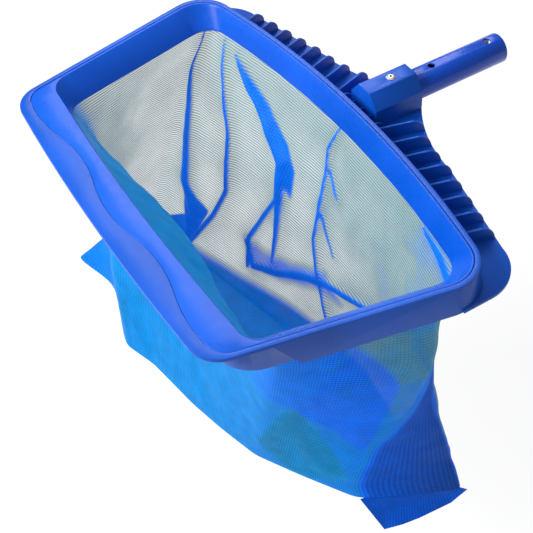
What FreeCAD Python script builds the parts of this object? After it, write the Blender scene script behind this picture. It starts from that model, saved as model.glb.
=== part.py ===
import FreeCAD, Part
import Sketcher
import math
import os

# Leaf skimmer net for a pool pole, in millimetres.
# Origin: the centre of the spigot's open end. +X runs out of the spigot towards the pole,
# +Y is sideways, +Z is square to the rim and points out of the net's mouth.

os.makedirs("parts", exist_ok=True)
doc = FreeCAD.newDocument("leaf_skimmer_net")

# ---------------------------------------------------------------- driving dimensions

DIMENSIONS = [
    # rim outline, seen from above
    ("side_distance", 265.1, "origin to either side edge, square to that edge"),
    ("side_angle", 12.3, "angle of a side edge to the X axis, degrees"),
    ("back_centre", 1184.1, "centre of the bowed back edge, distance behind the origin"),
    ("back_radius", 1020, "radius of the bowed back edge"),
    ("back_corner", 34, "radius of the two back corners"),
    ("front_centre", 2139, "centre of the bowed front lip, distance ahead of the origin"),
    ("front_radius", 2560, "radius of the bowed front lip edge"),
    ("front_corner", 28, "radius of the two front corners"),
    # heights
    ("rim_top", 12.3, "top of the rim above the spigot's axis"),
    ("frame_depth", 27, "height of the outer wall"),
    ("lip_thickness", 2.8, "thickness of the scooping lip"),
    ("deck_depth", 6, "underside of the ledge below the rim's top"),
    ("seat_depth", 3.5, "recess that the retaining ring drops into"),
    # outer wall
    ("wall", 2.6, "wall thickness"),
    ("flare", 4, "how far the wall leans out over its height"),
    ("lip_overhang", 20, "lip edge to the front wall below it"),
    ("core_inset", 1, "rim edge to the front wall's sides"),
    ("wall_corner", 36, "radius of the front wall's corners"),
    ("shoulder_top", 366, "where the side wall ends at the rim, distance behind the origin"),
    ("shoulder_lean", 21, "how far back the side wall's end slants over its height"),
    # seam between frame and ring
    ("seam_inset", 4.2, "rim edge to the ring's seam, sides and back"),
    ("wave_mean", 401, "mean line of the wavy seam, distance behind the origin"),
    ("wave_radius", 145, "radius of each lobe of the wavy seam"),
    ("wave_pitch", 73, "from one lobe to the next"),
    ("wave_height", 4.7, "height of each lobe from the mean line"),
    ("seam_corner", 20, "radius of the seam's front corners"),
    ("seam_gap", 0.25, "clearance round the ring in its recess"),
    # funnel of the retaining ring
    ("ledge_inset", 5.6, "rim edge to the inner edge of the ledge, sides and back"),
    ("ledge_front", 33, "lip edge to the inner edge of the ledge"),
    ("mouth_inset", 6.5, "rim edge to the funnel's top edge, sides and back"),
    ("mouth_front", 37.5, "lip edge to the funnel's top edge"),
    ("funnel_depth", 21.5, "rim's top to the funnel's lower edge"),
    ("funnel_side", 25.4, "rim edge to the funnel's lower edge, sides"),
    ("funnel_back", 15.5, "rim edge to the funnel's lower edge, back"),
    ("funnel_front", 44.5, "lip edge to the funnel's lower edge"),
    ("funnel_wall", 2, "thickness of the funnel, measured flat"),
    ("ring_drop", 0.25, "top of the ring below the rim's top"),
    # back flange and ribs
    ("flange_top", 12, "top of the flange below the spigot's axis"),
    ("flange_thickness", 2.7, "thickness of the flange"),
    ("flange_half", 228.8, "half of the flange's width"),
    ("wing_front", 217, "front end of the wings, distance behind the origin"),
    ("wing_turn", 190, "where the wing's corner begins"),
    ("wing_radius", 38.5, "radius of the wing's corner"),
    ("wing_back", 151.7, "where the wing's corner ends, distance behind the origin"),
    ("wing_back_half", 193.9, "where the wing's corner ends, from the middle plane"),
    ("neck_back", 130, "where the edge starts to sweep to the block, distance behind the origin"),
    ("neck_half", 98, "the same place, from the middle plane"),
    ("neck_radius", 150, "radius of the sweep to the block"),
    ("rib_thickness", 2, "thickness of a rib"),
    ("rib_angle", 16.5, "how far the ribs fan out, degrees"),
    ("rib_pitch", 19.5, "from one rib's foot to the next"),
    ("rib_first", 44.5, "first rib's foot from the middle plane"),
    ("rib_height", 13.6, "rib's top edge above the flange"),
    ("rib_length", 60, "length that a rib is drawn at, before the wall trims it"),
    ("rib_margin", 0.8, "rib's foot from the flange's edge"),
    ("short_rib_pitch", 12.4, "from one rib in front of the socket block to the next"),
    ("short_rib_foot", 145, "feet of the short ribs, distance behind the origin"),
    # socket block
    ("block_front", 152.4, "front face of the block, distance behind the origin"),
    ("block_length", 50.6, "length of the block"),
    ("block_half", 19.5, "half of the block's width"),
    ("block_crown", 8.6, "half of the block's flat top"),
    ("block_shoulder", 7.7, "height where the block's slanted sides begin"),
    ("block_top", 21.2, "height of the block's top"),
    ("block_bottom", 17, "depth of the block's underside"),
    # spigot tube
    ("tube_radius", 14.25, "outer radius of the spigot"),
    ("tube_wall", 1.6, "wall of the spigot"),
    ("tube_length", 146, "length of the spigot with its seat in the block"),
    ("spigot_length", 101.3, "length of the spigot at its full radius, outside the block"),
    ("seat_step", 0.3, "how much smaller the seat's radius is than the spigot's"),
    ("socket_gap", 0.1, "clearance of the socket round the spigot"),
    ("tip_hole", 15.1, "outer button hole from the open end"),
    ("tip_hole_radius", 4.1, "radius of the outer button hole"),
    ("near_hole", 78.2, "inner button hole from the open end"),
    ("near_hole_radius", 3.5, "radius of the inner button hole"),
    # blind rivet
    ("rivet_place", 123.4, "rivet from the origin"),
    ("rivet_head", 4.5, "radius of the rivet's head"),
    ("rivet_head_height", 1.3, "height of the rivet's head"),
    ("rivet_head_edge", 0.4, "height of the head's edge"),
    ("rivet_shank", 2.4, "radius of the rivet's shank"),
    ("rivet_bore", 1.35, "radius of the hole through the rivet"),
    ("rivet_tail", 3.4, "radius of the rivet's upset tail"),
    ("rivet_tail_height", 3, "height of the upset tail"),
    ("mandrel_head", 2.1, "radius of the mandrel's head"),
    ("mandrel_head_height", 2.6, "height of the mandrel's head"),
    ("mandrel_taper", 0.8, "how far the mandrel's head narrows"),
    ("mandrel_recess", 0.6, "broken end of the mandrel below the rivet's crown"),
    # net bag
    ("net", 1.2, "thickness that stands for the mesh and its folds"),
    ("net_side", 17.8, "rim edge to the net at the hem's foot, sides"),
    ("net_back", 10, "rim edge to the net at the hem's foot, back"),
    ("net_front", 39.4, "lip edge to the net at the hem's foot"),
    ("hem", 1.6, "thickness of the sewn hem"),
    ("hem_gap", 0.15, "clearance of the hem round the funnel"),
    ("hem_height", 10, "height of the sewn hem"),
    ("hem_drop", 7, "top of the hem below the rim's top"),
    ("mouth_middle", 287, "middle of the bag's mouth, distance behind the origin"),
    ("mouth_front_reach", 196, "twice the way from the middle forward to a front seam"),
    ("mouth_front_spread", 360, "twice the front seams' distance from the middle plane"),
    ("mouth_back_reach", 194, "twice the way from the middle back to a back seam"),
    ("mouth_back_spread", 430, "twice the back seams' distance from the middle plane"),
    ("bag_depth", 287, "rim's top to the bag's bottom"),
    ("bag_length", 444, "length of the bag's bottom, sideways"),
    ("bag_width", 104, "width of the bag's bottom"),
    ("bag_corner", 12, "radius of the bottom's corners"),
    ("bag_middle", 297, "middle of the bag's bottom, distance behind the origin"),
    ("bag_turn", 13, "how far the hanging bag has swung round, degrees"),
    # large enough to pass every outline
    ("beyond", 500, "reach of the solids that only trim others"),
]

sheet = doc.addObject("Spreadsheet::Sheet", "Dims")
for row, (alias, value, note) in enumerate(DIMENSIONS, start=1):
    sheet.set("A%d" % row, note)
    sheet.set("B%d" % row, str(value))
    sheet.setAlias("B%d" % row, alias)
doc.recompute()


def amount(words):
    """Value of a sum of sheet names and numbers, such as 'rim_top - wall'."""
    sign = 1
    total = 0.0
    for word in words.split():
        if word in "+-":
            sign = 1 if word == "+" else -1
        else:
            total += sign * (float(word) if word[0].isdigit() else sheet.get(word))
    return total


def formula(words):
    """The same sum as an expression on the sheet."""
    return " ".join(w if w in "+-" or w[0].isdigit() else "Dims." + w for w in words.split())


# ---------------------------------------------------------------- outlines


def arc(centre, radius, start, end):
    """Anticlockwise arc from the direction of start to the direction of end."""
    angles = [math.atan2(p[1] - centre[1], p[0] - centre[0]) for p in (start, end)]
    if angles[1] < angles[0]:
        angles[1] += 2 * math.pi
    circle = Part.Circle(FreeCAD.Vector(centre[0], centre[1], 0), FreeCAD.Vector(0, 0, 1), radius)
    return Part.ArcOfCircle(circle, angles[0], angles[1])


def corner(side, distance, circle, radius):
    """Rounds the corner between a side edge (side is 1 or -1) and a large circle around it.

    Gives the rounding's centre and its tangent points on the side edge and on the circle.
    """
    (cx, cy), big = circle
    angle = math.radians(amount("side_angle"))
    along = (math.cos(angle), side * math.sin(angle))
    out = (-side * along[1], side * along[0])
    foot = (out[0] * (distance - radius), out[1] * (distance - radius))
    gap = (foot[0] - cx, foot[1] - cy)
    half = gap[0] * along[0] + gap[1] * along[1]
    rest = gap[0] ** 2 + gap[1] ** 2 - (big - radius) ** 2
    root = math.sqrt(half ** 2 - rest)
    step = -half + (root if cx < foot[0] - 500 else -root)
    centre = (foot[0] + along[0] * step, foot[1] + along[1] * step)
    on_side = (centre[0] + out[0] * radius, centre[1] + out[1] * radius)
    reach = math.hypot(centre[0] - cx, centre[1] - cy)
    on_circle = tuple(c + (p - c) * big / reach for p, c in zip(centre, (cx, cy)))
    return centre, on_side, on_circle


def wave_lobes():
    """Circles of the wavy seam's five lobes, from the left one to the right one."""
    offset = amount("wave_radius - wave_height")
    mean = -amount("wave_mean")
    pitch = amount("wave_pitch")
    lobes = []
    for place in (2, 1, 0, -1, -2):
        sign = 1 if place % 2 == 0 else -1
        lobes.append(((mean + sign * offset, place * pitch), sign))
    return lobes


def outline(name, height, side, back, back_round, front_round, front=None, gap="0"):
    """Closed sketch of the rim's outline: bowed back, straight sides, bowed or wavy front.

    side, back and front are sums of sheet names for the side edge's distance and the two
    large radii; with no front, the front is the wavy seam, drawn in by the clearance gap.
    Edges run anticlockwise.
    """
    sketch = doc.addObject("Sketcher::SketchObject", name)
    sketch.setExpression("Placement.Base.z", formula(height))
    distance = amount(side)
    back_circle = ((-amount("back_centre"), 0), amount(back))
    lobe = amount("wave_radius")
    shift = amount(gap)
    front_circle = {}
    for s in (1, -1):
        if front:
            front_circle[s] = ((amount("front_centre"), 0), amount(front))
        else:
            offset = amount("wave_radius - wave_height - wave_mean")
            front_circle[s] = ((offset, s * 2 * amount("wave_pitch")), lobe - shift)
    b_left = corner(1, distance, back_circle, amount(back_round))
    b_right = corner(-1, distance, back_circle, amount(back_round))
    f_left = corner(1, distance, front_circle[1], amount(front_round))
    f_right = corner(-1, distance, front_circle[-1], amount(front_round))
    edges = [arc(back_circle[0], back_circle[1], b_right[2], b_left[2]),
             arc(b_left[0], amount(back_round), b_left[2], b_left[1]),
             Part.LineSegment(FreeCAD.Vector(*b_left[1], 0), FreeCAD.Vector(*f_left[1], 0)),
             arc(f_left[0], amount(front_round), f_left[1], f_left[2])]
    turns = [1, 1, 0, 1]
    if front:
        edges.append(arc(front_circle[1][0], front_circle[1][1], f_left[2], f_right[2]))
        turns.append(1)
    else:
        lobes = wave_lobes()
        radii = [lobe - sign * shift for _, sign in lobes]
        joints = [f_left[2]]
        for (c1, s1), (c2, s2), r1, r2 in zip(lobes, lobes[1:], radii, radii[1:]):
            part = r1 / (r1 + r2)
            joints.append((c1[0] + (c2[0] - c1[0]) * part, c1[1] + (c2[1] - c1[1]) * part))
        joints.append(f_right[2])
        for (centre, sign), radius, first, last in zip(lobes, radii, joints, joints[1:]):
            ends = (first, last) if sign > 0 else (last, first)
            edges.append(arc(centre, radius, *ends))
            turns.append(sign)
    edges += [arc(f_right[0], amount(front_round), f_right[2], f_right[1]),
              Part.LineSegment(FreeCAD.Vector(*f_right[1], 0), FreeCAD.Vector(*b_right[1], 0)),
              arc(b_right[0], amount(back_round), b_right[1], b_right[2])]
    turns += [1, 0, 1]
    for edge in edges:
        sketch.addGeometry(edge, False)

    count = len(edges)
    for i in range(count):
        j = (i + 1) % count
        leave = 1 if turns[i] < 0 else 2
        enter = 2 if turns[j] < 0 else 1
        sketch.addConstraint(Sketcher.Constraint("Tangent", i, leave, j, enter))

    def bind(kind, *args):
        *where, words = args
        index = sketch.addConstraint(Sketcher.Constraint(kind, *where, amount(words)))
        sketch.setExpression("Constraints[%d]" % index, formula(words))

    sketch.addConstraint(Sketcher.Constraint("PointOnObject", 0, 3, -1))
    bind("DistanceX", 0, 3, -1, 1, "back_centre")
    bind("Radius", 0, back)
    for index, words in ((1, back_round), (3, front_round), (count - 3, front_round),
                         (count - 1, back_round)):
        bind("Radius", index, words)
    for index in (2, count - 2):
        bind("Distance", -1, 1, index, side)
    turn = math.radians(amount("side_angle"))
    for index, angle in ((2, math.pi + turn), (count - 2, -turn)):
        spot = sketch.addConstraint(Sketcher.Constraint("Angle", index, angle))
        sign = "180 deg + " if index == 2 else "0 deg - "
        sketch.setExpression("Constraints[%d]" % spot, sign + "Dims.side_angle * 1 deg")
    if front:
        sketch.addConstraint(Sketcher.Constraint("PointOnObject", 4, 3, -1))
        bind("DistanceX", -1, 1, 4, 3, "front_centre")
        bind("Radius", 4, front)
    else:
        for place, index in zip((2, 1, 0, -1, -2), range(4, 9)):
            sign = " - " if place % 2 == 0 else " + "
            bind("Radius", index, "wave_radius" + sign + gap)
            if place:
                spot = sketch.addConstraint(
                    Sketcher.Constraint("DistanceY", -1, 1, index, 3, place * amount("wave_pitch")))
                sketch.setExpression("Constraints[%d]" % spot, "Dims.wave_pitch * %d" % place)
        sketch.addConstraint(Sketcher.Constraint("PointOnObject", 6, 3, -1))
        bind("DistanceX", 6, 3, -1, 1, "wave_mean + wave_height - wave_radius")
    return sketch


# ---------------------------------------------------------------- solids from outlines


def rim_line(name, height, rounds, inset="- 0", side=None, back=None, front=None):
    """Outline set in from, or out of, the rim's edge by signed sums of sheet names.

    rounds holds the radii of the back and the front corners. side, back and front
    replace inset on their own edges.
    """
    return outline(name, height,
                   "side_distance " + (side or inset),
                   "back_radius " + (back or inset),
                   rounds[0], rounds[1],
                   "front_radius " + (front or inset))


def add(kind, name, **settings):
    """Adds an object of the Part workbench and sets its properties."""
    made = doc.addObject(kind, name)
    for key, value in settings.items():
        setattr(made, key, value)
    return made


def loft(name, upper, lower):
    """Solid between two outlines."""
    return add("Part::Loft", name, Sections=[lower, upper], Solid=True, Ruled=True)


def plate(name, sketch, thickness, direction=(0, 0, 1)):
    """Solid raised from a sketch by a sum of sheet names."""
    made = add("Part::Extrusion", name, Base=sketch, DirMode="Custom", Solid=True)
    made.Dir = FreeCAD.Vector(*direction)
    made.setExpression("LengthFwd", formula(thickness))
    return made


def cut(name, base, tool):
    return add("Part::Cut", name, Base=base, Tool=tool)


def common(name, *shapes):
    return add("Part::MultiCommon", name, Shapes=list(shapes))


def fuse(name, *shapes):
    return add("Part::MultiFuse", name, Shapes=list(shapes))


def slab(name, low, high):
    """Everything between two heights, as wide as any outline."""
    made = add("Part::Box", name)
    made.setExpression("Placement.Base.x", "-Dims.beyond")
    made.setExpression("Placement.Base.y", "-Dims.beyond")
    made.setExpression("Placement.Base.z", formula(low))
    made.setExpression("Length", "Dims.beyond")
    made.setExpression("Width", "2 * Dims.beyond")
    made.setExpression("Height", formula(high) + " - (" + formula(low) + ")")
    return made


def polygon(name, points, plane="XY"):
    """Closed sketch through points, each a pair of sums of sheet names, bound to the sheet."""
    sketch = doc.addObject("Sketcher::SketchObject", name)
    if plane == "XZ":
        sketch.Placement.Rotation = FreeCAD.Rotation(FreeCAD.Vector(1, 0, 0), 90)
    if plane == "YZ":
        sketch.Placement.Rotation = FreeCAD.Rotation(FreeCAD.Vector(1, 1, 1), 120)
    spots = [FreeCAD.Vector(amount(u), amount(v), 0) for u, v in points]
    for start, end in zip(spots, spots[1:] + spots[:1]):
        sketch.addGeometry(Part.LineSegment(start, end), False)
    count = len(points)
    for i in range(count):
        sketch.addConstraint(Sketcher.Constraint("Coincident", i, 2, (i + 1) % count, 1))
    for i, pair in enumerate(points):
        for kind, words in zip(("DistanceX", "DistanceY"), pair):
            index = sketch.addConstraint(Sketcher.Constraint(kind, -1, 1, i, 1, amount(words)))
            sketch.setExpression("Constraints[%d]" % index, formula(words))
    return sketch


def cylinder(name, radius, height, place, direction=(0, 0, 1)):
    """Cylinder from a place along a direction; radius, height and place are sums of sheet names."""
    made = add("Part::Cylinder", name)
    made.setExpression("Radius", formula(radius))
    made.setExpression("Height", formula(height))
    made.Placement.Rotation = FreeCAD.Rotation(FreeCAD.Vector(0, 0, 1), FreeCAD.Vector(*direction))
    for axis, words in zip("xyz", place):
        made.setExpression("Placement.Base." + axis, formula(words))
    return made


EDGE_ROUNDS = ("back_corner", "front_corner")
FLARED_ROUNDS = ("back_corner + flare", "front_corner + flare")
BOTTOM = "rim_top - frame_depth"

# ---------------------------------------------------------------- outer frame

# Outer wall: leans out towards the bottom all round, and hollow.
wall_solid = loft("wall_solid",
                  rim_line("wall_top_edge", "rim_top", EDGE_ROUNDS),
                  rim_line("wall_foot_edge", BOTTOM, FLARED_ROUNDS, "+ flare"))
hollow = loft("hollow",
              rim_line("hollow_top_edge", "rim_top",
                       ("back_corner - wall", "front_corner - wall"), "- wall"),
              rim_line("hollow_foot_edge", BOTTOM,
                       ("back_corner + flare - wall", "front_corner + flare - wall"),
                       "+ flare - wall"))
outer_wall = cut("outer_wall", wall_solid, hollow)

# The outer wall ends under the front corners in a slanted edge.
FOOT_END = "0 - shoulder_top + shoulder_lean"
behind_edge = plate("behind_shoulder", polygon("shoulder_side", [
    ("0 - shoulder_top", "rim_top"),
    (FOOT_END, BOTTOM),
    ("0", BOTTOM),
    ("0", "rim_top")], "XZ"), "beyond + beyond", (0, 1, 0))
behind_edge.setExpression("Placement.Base.y", "-Dims.beyond")
kept_wall = common("kept_wall", outer_wall, behind_edge)

# Front wall: set back under the lip, with wide rounded corners.
CORE_SIDE = "- core_inset"
CORE_FRONT = "- lip_overhang"
LIP_UNDER = "rim_top - lip_thickness"
core_edge = rim_line("core_edge", BOTTOM, ("back_corner", "wall_corner"), CORE_SIDE, front=CORE_FRONT)
core_solid = plate("core_solid", core_edge, "frame_depth - lip_thickness")
core_room_edge = rim_line("core_room_edge", BOTTOM, ("back_corner - wall", "wall_corner - wall"),
                          CORE_SIDE + " - wall", front=CORE_FRONT + " - wall")
core_room = plate("core_room", core_room_edge, "frame_depth - lip_thickness")
core_ring = cut("core_ring", core_solid, core_room)
front_side = plate("ahead_of_shoulder", polygon("front_side", [
    ("0 - beyond", BOTTOM),
    (FOOT_END + " + wall", BOTTOM),
    ("0 - shoulder_top + wall", "rim_top"),
    ("0 - beyond", "rim_top")], "XZ"), "beyond + beyond", (0, 1, 0))
front_side.setExpression("Placement.Base.y", "-Dims.beyond")
front_wall = common("front_wall", core_ring, front_side)

# Web that closes the step between the outer wall's slanted end and the front wall.
web = cut("web", common("web_slice", wall_solid, front_side, behind_edge), core_room)

# Top: the rim and the lip are one plate, with a ledge under the retaining ring.
deck_slab = slab("deck_slab", LIP_UNDER, "rim_top")
deck = common("deck", wall_solid, deck_slab)
ledge_edge = rim_line("ledge_edge", "rim_top - deck_depth", ("back_corner", "wall_corner"),
                      CORE_SIDE, front=CORE_FRONT)
ledge = plate("ledge", ledge_edge, "deck_depth - lip_thickness")
seam_edge = outline("seam_edge", "rim_top - seat_depth", "side_distance - seam_inset",
                    "back_radius - seam_inset", "back_corner - seam_inset", "seam_corner")
seat = plate("seat", seam_edge, "seat_depth + seat_depth")
inner_edge = rim_line("inner_edge", BOTTOM,
                      ("back_corner - ledge_inset", "seam_corner"), "- ledge_inset",
                      front="- ledge_front")
mouth = plate("mouth", inner_edge, "frame_depth + frame_depth")

# Flange behind the back wall, at the wall's foot.
BLOCK_BACK = "block_front - block_length"


def bulge_centre(start, end, radius, side):
    """Centre of the arc between two points; side 1 bulges to the right of the way."""
    dx, dy = end[0] - start[0], end[1] - start[1]
    chord = math.hypot(dx, dy)
    back = math.sqrt(radius ** 2 - chord ** 2 / 4)
    return ((start[0] + end[0]) / 2 - side * dy / chord * back,
            (start[1] + end[1]) / 2 + side * dx / chord * back)


FLANGE_CORNERS = [("wing_front", "flange_half"), ("wing_turn", "flange_half"),
                  ("wing_back", "wing_back_half"), ("neck_back", "neck_half"),
                  (BLOCK_BACK, "block_half")]


def flange_outline():
    """Closed sketch of the flange: wings, two long edges, and a sweep to the block."""
    sketch = doc.addObject("Sketcher::SketchObject", "flange_edge")
    sketch.setExpression("Placement.Base.z", formula(BOTTOM))
    left = [(-amount(x), amount(y)) for x, y in FLANGE_CORNERS]
    points = left + [(x, -y) for x, y in reversed(left)]
    rounds = {1: ("wing_radius", -1), 3: ("neck_radius", 1), 5: ("neck_radius", 1), 7: ("wing_radius", -1)}
    count = len(points)
    for i in range(count):
        start, end = points[i], points[(i + 1) % count]
        if i in rounds:
            words, side = rounds[i]
            centre = bulge_centre(start, end, amount(words), side)
            ends = (start, end) if side > 0 else (end, start)
            sketch.addGeometry(arc(centre, amount(words), *ends), False)
        else:
            sketch.addGeometry(Part.LineSegment(FreeCAD.Vector(*start, 0), FreeCAD.Vector(*end, 0)), False)

    def begin(i):
        return 2 if i in rounds and rounds[i][1] < 0 else 1

    for i in range(count):
        j = (i + 1) % count
        sketch.addConstraint(Sketcher.Constraint("Coincident", i, 3 - begin(i), j, begin(j)))
    names = FLANGE_CORNERS + FLANGE_CORNERS[::-1]
    for i, (x, y) in enumerate(names):
        y_sign = 1 if i < len(FLANGE_CORNERS) else -1
        for kind, words, sign in (("DistanceX", x, -1), ("DistanceY", y, y_sign)):
            spot = sketch.addConstraint(
                Sketcher.Constraint(kind, -1, 1, i, begin(i), sign * amount(words)))
            sketch.setExpression("Constraints[%d]" % spot, "%d * (%s)" % (sign, formula(words)))
    for i, (words, _) in rounds.items():
        spot = sketch.addConstraint(Sketcher.Constraint("Radius", i, amount(words)))
        sketch.setExpression("Constraints[%d]" % spot, formula(words))
    return sketch


flange = plate("flange", flange_outline(), "flange_thickness")

# Ribs stand on the flange and fan out from the middle.
rib_side = doc.addObject("Sketcher::SketchObject", "rib_side")
rib_side.Placement.Rotation = FreeCAD.Rotation(FreeCAD.Vector(1, 0, 0), 90)
height = amount("rib_height")
length = amount("rib_length")
rib_side.addGeometry(arc((-height, 0), height, (0, 0), (-height, height)), False)
rib_corners = [(-height, height), (-length, height), (-length, 0), (0, 0)]
for start, end in zip(rib_corners, rib_corners[1:]):
    rib_side.addGeometry(Part.LineSegment(FreeCAD.Vector(*start, 0), FreeCAD.Vector(*end, 0)), False)
rib_side.addConstraint(Sketcher.Constraint("Tangent", 0, 2, 1, 1))
for i, j in ((1, 2), (2, 3)):
    rib_side.addConstraint(Sketcher.Constraint("Coincident", i, 2, j, 1))
rib_side.addConstraint(Sketcher.Constraint("Coincident", 3, 2, 0, 1))
rib_side.addConstraint(Sketcher.Constraint("Coincident", 3, 2, -1, 1))
rib_side.addConstraint(Sketcher.Constraint("PointOnObject", 0, 3, -1))
rib_side.addConstraint(Sketcher.Constraint("Horizontal", 1))
rib_side.addConstraint(Sketcher.Constraint("Vertical", 2))
rib_side.addConstraint(Sketcher.Constraint("Horizontal", 3))
for constraint, words in ((Sketcher.Constraint("Radius", 0, height), "rib_height"),
                          (Sketcher.Constraint("DistanceX", 3, 1, 3, 2, length), "rib_length")):
    index = rib_side.addConstraint(constraint)
    rib_side.setExpression("Constraints[%d]" % index, formula(words))


def flange_edge_x(y):
    """Where the flange's back edge is at a distance y from the middle plane."""
    wing, neck, end = [(-amount(a), amount(b)) for a, b in FLANGE_CORNERS[2:]]
    if y > neck[1]:
        return neck[0] + (wing[0] - neck[0]) * (y - neck[1]) / (wing[1] - neck[1])
    radius = amount("neck_radius")
    centre = bulge_centre(neck, end, radius, 1)
    return centre[0] - math.sqrt(radius ** 2 - (y - centre[1]) ** 2)


def rib(name, x, y, angle):
    """Rib with its foot at x, y, standing on the flange and turned about it."""
    made = add("Part::Extrusion", name, Base=rib_side, DirMode="Custom", Solid=True, Symmetric=True)
    made.Dir = FreeCAD.Vector(0, 1, 0)
    made.setExpression("LengthFwd", "Dims.rib_thickness")
    made.Placement = FreeCAD.Placement(FreeCAD.Vector(x, y, -amount("flange_top")),
                                       FreeCAD.Rotation(FreeCAD.Vector(0, 0, 1), angle))
    return made


RIBS_PER_SIDE = 8
ribs = []
for side in (1, -1):
    for i in range(RIBS_PER_SIDE):
        foot = amount("rib_first") + i * amount("rib_pitch")
        x = flange_edge_x(foot) - amount("rib_margin")
        ribs.append(rib("rib_%s_%d" % ("left" if side > 0 else "right", i + 1), x, side * foot,
                        side * amount("rib_angle")))
for i in range(-2, 3):
    ribs.append(rib("short_rib_%d" % (i + 3), -amount("short_rib_foot"),
                    i * amount("short_rib_pitch"), 0))

# Socket block over the flange, with a flat crown and slanted shoulders.
block_side = polygon("block_side", [
    ("0 - block_half", "0 - block_bottom"),
    ("block_half", "0 - block_bottom"),
    ("block_half", "block_shoulder"),
    ("block_crown", "block_top"),
    ("0 - block_crown", "block_top"),
    ("0 - block_half", "block_shoulder")], "YZ")
block = plate("block", block_side, "block_length", (1, 0, 0))
block.setExpression("Placement.Base.x", "-Dims.block_front")

socket_bore = cylinder("socket_bore", "tube_radius - seat_step + socket_gap", "tube_length + tube_length",
                       ("0 - tube_length - socket_gap", "0", "0"), (1, 0, 0))
rivet_passage = cylinder("rivet_passage", "rivet_shank", "block_top",
                         ("0 - rivet_place", "0", "0"))

outside = cut("outside_of_wall", fuse("back_structure", flange, *ribs), hollow)
shell = fuse("frame_shell", kept_wall, front_wall, web, deck, ledge, outside, block)
tools = fuse("frame_cuts", seat, mouth, socket_bore, rivet_passage)
outer_frame = cut("outer_frame", shell, tools)

# ---------------------------------------------------------------- retaining ring

ring_edge = outline("ring_edge", "rim_top - seat_depth", "side_distance - seam_inset - seam_gap",
                    "back_radius - seam_inset - seam_gap", "back_corner - seam_inset - seam_gap",
                    "seam_corner - seam_gap", gap="seam_gap")
ring_flange = plate("ring_flange", ring_edge, "seat_depth - ring_drop")
FUNNEL_FOOT = "rim_top - funnel_depth"
MOUTH_ROUNDS = ("back_corner - mouth_inset", "seam_corner")
FOOT_ROUNDS = ("seam_corner", "seam_corner")


def funnel_lines(name, out):
    """Top and foot outlines of a surface along the funnel, moved outwards by out."""
    top = rim_line(name + "_top_edge", "rim_top", MOUTH_ROUNDS, "- mouth_inset" + out,
                   front="- mouth_front" + out)
    foot = rim_line(name + "_foot_edge", FUNNEL_FOOT, FOOT_ROUNDS, side="- funnel_side" + out,
                    back="- funnel_back" + out, front="- funnel_front" + out)
    return top, foot


funnel_hole = loft("funnel_hole", *funnel_lines("funnel_hole", " + 0"))
funnel_solid = loft("funnel_solid", *funnel_lines("funnel", " + funnel_wall"))
under_seat = slab("under_seat", BOTTOM, "rim_top - seat_depth")
funnel_body = common("funnel_body", funnel_solid, under_seat)
retaining_ring = cut("retaining_ring", fuse("ring_solid", ring_flange, funnel_body), funnel_hole)

# ---------------------------------------------------------------- net bag

HEM_FOOT = "rim_top - hem_drop - hem_height"
BAG_FOOT = "rim_top - bag_depth"
hem_inside = loft("hem_inside", *funnel_lines("hem_inside", " + funnel_wall + hem_gap"))
hem_outside = loft("hem_outside", *funnel_lines("hem_outside", " + funnel_wall + hem_gap + hem"))
hem_room = slab("hem_room", HEM_FOOT, "rim_top - hem_drop")
mouth_hem = cut("mouth_hem", common("hem_slice", hem_outside, hem_room), hem_inside)


def swing(sketch, height):
    """Puts a sketch at a height over the middle of the bag's bottom, turned with it."""
    sketch.setExpression("Placement.Base.x", "-Dims.bag_middle")
    sketch.setExpression("Placement.Base.z", formula(height))
    sketch.setExpression("Placement.Rotation.Angle", "Dims.bag_turn * 1 deg")
    return sketch


def bag_foot(name, height, inset):
    """Rounded rectangle of the bag's bottom, set in by a sum of sheet names."""
    sketch = doc.addObject("Sketcher::SketchObject", name)
    half_width = amount("bag_width") / 2 - amount(inset)
    half = amount("bag_length") / 2 - amount(inset)
    r = amount("bag_corner - " + inset)
    corners = [(half_width, half), (-half_width, half), (-half_width, -half), (half_width, -half)]
    spots = [(half_width, -half + r), (half_width, half - r), (half_width - r, half),
             (-half_width + r, half), (-half_width, half - r), (-half_width, -half + r),
             (-half_width + r, -half), (half_width - r, -half)]
    for i, (x, y) in enumerate(corners):
        centre = (x - math.copysign(r, x), y - math.copysign(r, y))
        start, end = spots[2 * i], spots[2 * i + 1]
        sketch.addGeometry(Part.LineSegment(FreeCAD.Vector(*start, 0), FreeCAD.Vector(*end, 0)), False)
        sketch.addGeometry(arc(centre, r, end, spots[(2 * i + 2) % 8]), False)
    for i in range(8):
        sketch.addConstraint(Sketcher.Constraint("Tangent", i, 2, (i + 1) % 8, 1))
    for index, kind in ((0, "Vertical"), (2, "Horizontal"), (4, "Vertical"), (6, "Horizontal")):
        sketch.addConstraint(Sketcher.Constraint(kind, index))
    width_words = "Dims.bag_width / 2 - " + formula(inset)
    length_words = "Dims.bag_length / 2 - " + formula(inset)
    bounds = [("DistanceX", -1, 1, 0, 1, half_width, width_words),
              ("DistanceX", 4, 1, -1, 1, half_width, width_words),
              ("DistanceY", -1, 1, 2, 1, half, length_words),
              ("DistanceY", 6, 1, -1, 1, half, length_words)]
    bounds += [("Radius", index, r, formula("bag_corner - " + inset)) for index in (1, 3, 5, 7)]
    for *where, value, words in bounds:
        spot = sketch.addConstraint(Sketcher.Constraint(*where, value))
        sketch.setExpression("Constraints[%d]" % spot, words)
    return swing(sketch, height)


def net_surface(name, inset):
    """Solid inside one face of the hanging net, from the hem's foot to the bag's bottom."""
    top = rim_line(name + "_mouth", HEM_FOOT, ("seam_corner - " + inset, "seam_corner - " + inset),
                   side="- net_side - " + inset, back="- net_back - " + inset,
                   front="- net_front - " + inset)
    return loft(name, top, bag_foot(name + "_foot", BAG_FOOT + " + net", inset))


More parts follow.
